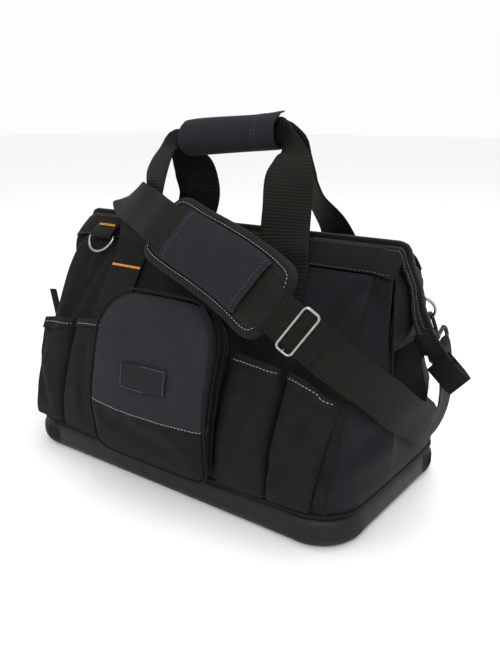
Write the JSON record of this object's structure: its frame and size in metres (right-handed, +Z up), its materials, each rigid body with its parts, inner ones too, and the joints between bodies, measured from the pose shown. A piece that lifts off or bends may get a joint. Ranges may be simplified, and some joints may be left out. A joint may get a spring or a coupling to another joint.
{
  "type": "tool bag",
  "caption": "Black and navy gate-mouth tool bag on a moulded tray base, with front pockets, webbing handles in a wrapped grip and a padded shoulder strap.",
  "frame": {"origin": "middle of the underside of the tray", "axes": "+X along the length to the right as seen from the front, -Y towards the front with its pockets, +Z up"},
  "size_m": [0.5904, 0.2839, 0.4087],
  "materials": {
    "tray": "satin",
    "binding": "matt",
    "navy_cloth": "matt",
    "black_cloth": "matt",
    "webbing": "matt",
    "zip": "matt",
    "steel": "satin",
    "dark_metal": "satin"
  },
  "bodies": {
    "bag": {"base_tray": "tray", "base_binding": "binding", "body_shell": "navy_cloth", "mouth_band_front": "webbing", "mouth_band_back": "webbing", "end_band_left": "webbing", "end_band_right": "webbing", "main_zip": "zip", "zip_tail_left": "binding", "zip_tail_right": "binding", "zip_tab_left": "webbing", "zip_tab_right": "webbing", "zip_slider": "dark_metal", "fold_piping_right_front": "binding", "fold_piping_right_back": "binding", "fold_piping_left_front": "binding", "fold_piping_left_back": "binding", "centre_pocket": "navy_cloth", "pocket_piping": "binding", "pocket_zip": "zip", "label_patch": "binding", "side_label": "binding", "sleeve_right_inner": "black_cloth", "sleeve_right_inner_binding": "binding", "sleeve_right_outer": "black_cloth", "sleeve_right_outer_binding": "binding", "sleeve_left_inner": "black_cloth", "sleeve_left_inner_binding": "binding", "sleeve_left_outer": "black_cloth", "sleeve_left_outer_binding": "binding", "handle_front": "webbing", "handle_back": "webbing", "handle_grip": "navy_cloth", "front_ring_tab": "webbing", "back_ring_left": "steel", "back_ring_tab_left": "webbing", "back_ring_right": "steel", "back_ring_tab_right": "webbing", "strap_hook_left": "dark_metal", "strap_hook_right": "dark_metal", "shoulder_pad": "navy_cloth", "pad_sleeve": "navy_cloth", "strap_slider": "steel", "shoulder_strap": "webbing"},
    "ring": {"front_ring": "steel"}
  },
  "joints": [
    {"name": "front_ring_swing", "type": "hinge", "parent": "bag", "child": "ring", "pos_m": [-0.16693, -0.03988, 0.25975], "axis": [-1, 0, 0], "range_deg": [0, 120]}
  ]
}
